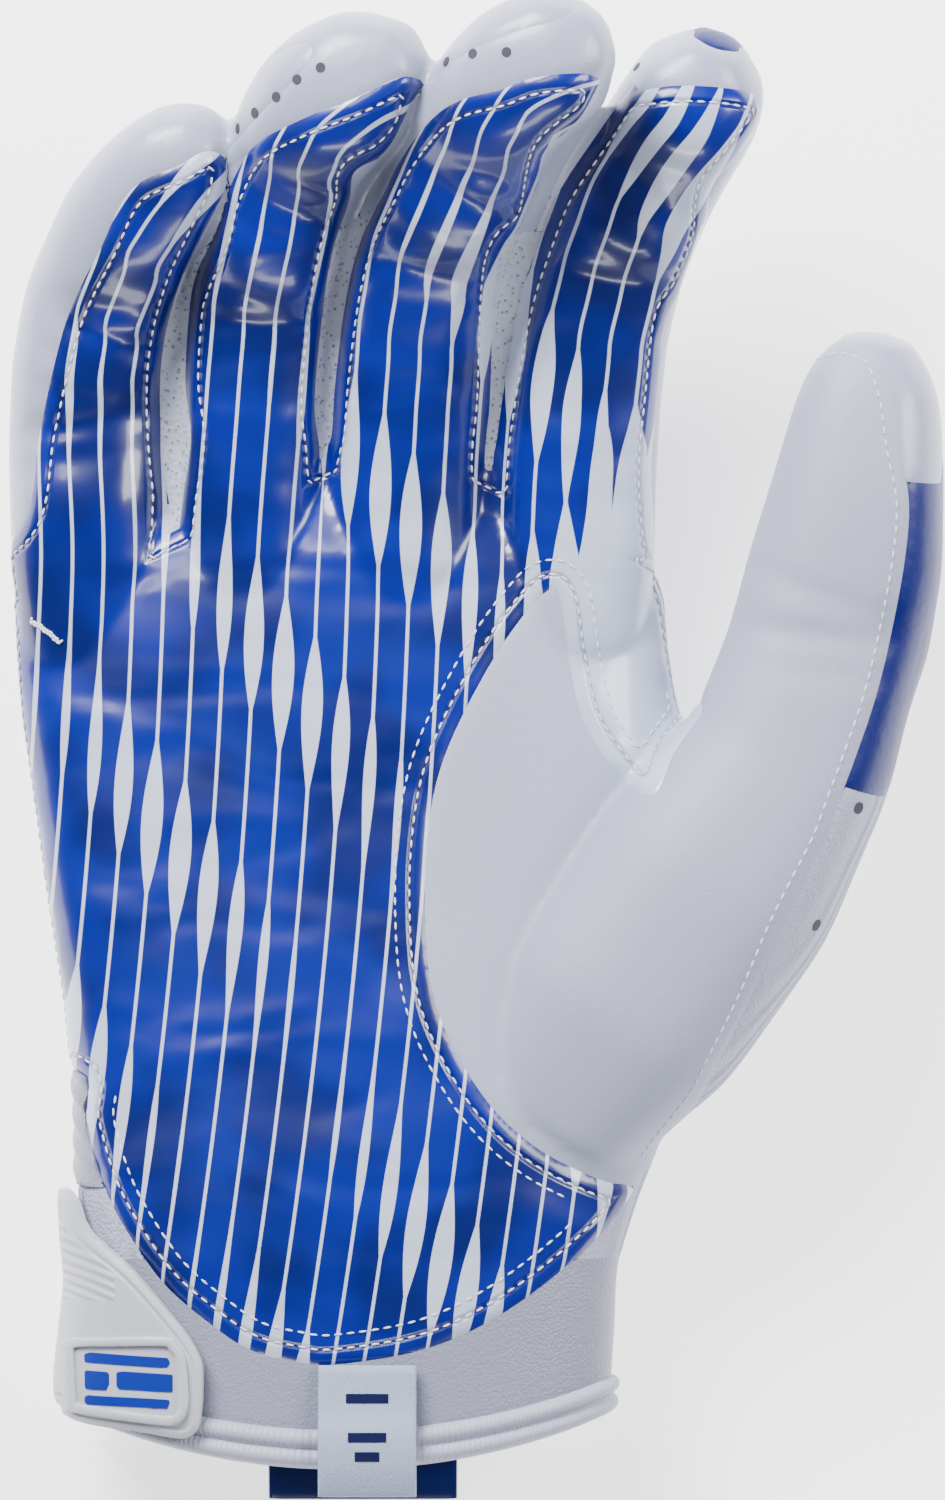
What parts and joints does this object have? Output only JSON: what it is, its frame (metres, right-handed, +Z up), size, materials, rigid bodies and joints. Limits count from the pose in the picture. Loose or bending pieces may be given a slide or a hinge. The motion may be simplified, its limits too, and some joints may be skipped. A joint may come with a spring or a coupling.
{
  "type": "football receiver glove",
  "caption": "Right-hand football receiver glove lying palm up: hollow fingers and thumb, smooth grip palm, gathered knit cuff with a wrist strap.",
  "frame": {"origin": "on the flat back, under the middle of the palm, where the glove rests", "axes": "+X across the palm towards the thumb, +Y towards the fingertips, +Z up out of the palm"},
  "size_m": [0.1381, 0.2199, 0.0625],
  "materials": {
    "printed_film_leather": "glossy grip film over synthetic leather, blue with a fine pale line pattern",
    "matt_grip_leather": "matt white grip leather",
    "white_leather": "satin white synthetic leather",
    "blue_leather": "satin blue synthetic leather",
    "grey_mesh": "open knit mesh",
    "ribbed_knit": "white ribbed stretch knit",
    "satin_knit": "silvery satin stretch knit",
    "strap_tpu": "moulded satin white strap",
    "woven_tag": "woven grey-blue label tape",
    "coated_tab": "glossy blue coated tape"
  },
  "bodies": {
    "root": {"palm_panel": "printed_film_leather", "thumb_panel": "matt_grip_leather", "thumb_tip": "white_leather", "thumb_back": "blue_leather", "gusset_little_ring": "grey_mesh", "gusset_ring_middle": "grey_mesh", "gusset_middle_index": "grey_mesh", "index_back": "blue_leather", "cap_little": "white_leather", "cap_ring": "white_leather", "cap_middle": "white_leather", "cap_index": "white_leather", "side_gather": "satin_knit", "cuff": "satin_knit", "back_panel": "ribbed_knit", "cuff_hem": "satin_knit", "wrist_strap": "strap_tpu", "strap_badge": "strap_tpu", "size_tag": "woven_tag", "pull_tab": "coated_tab"}
  },
  "joints": []
}
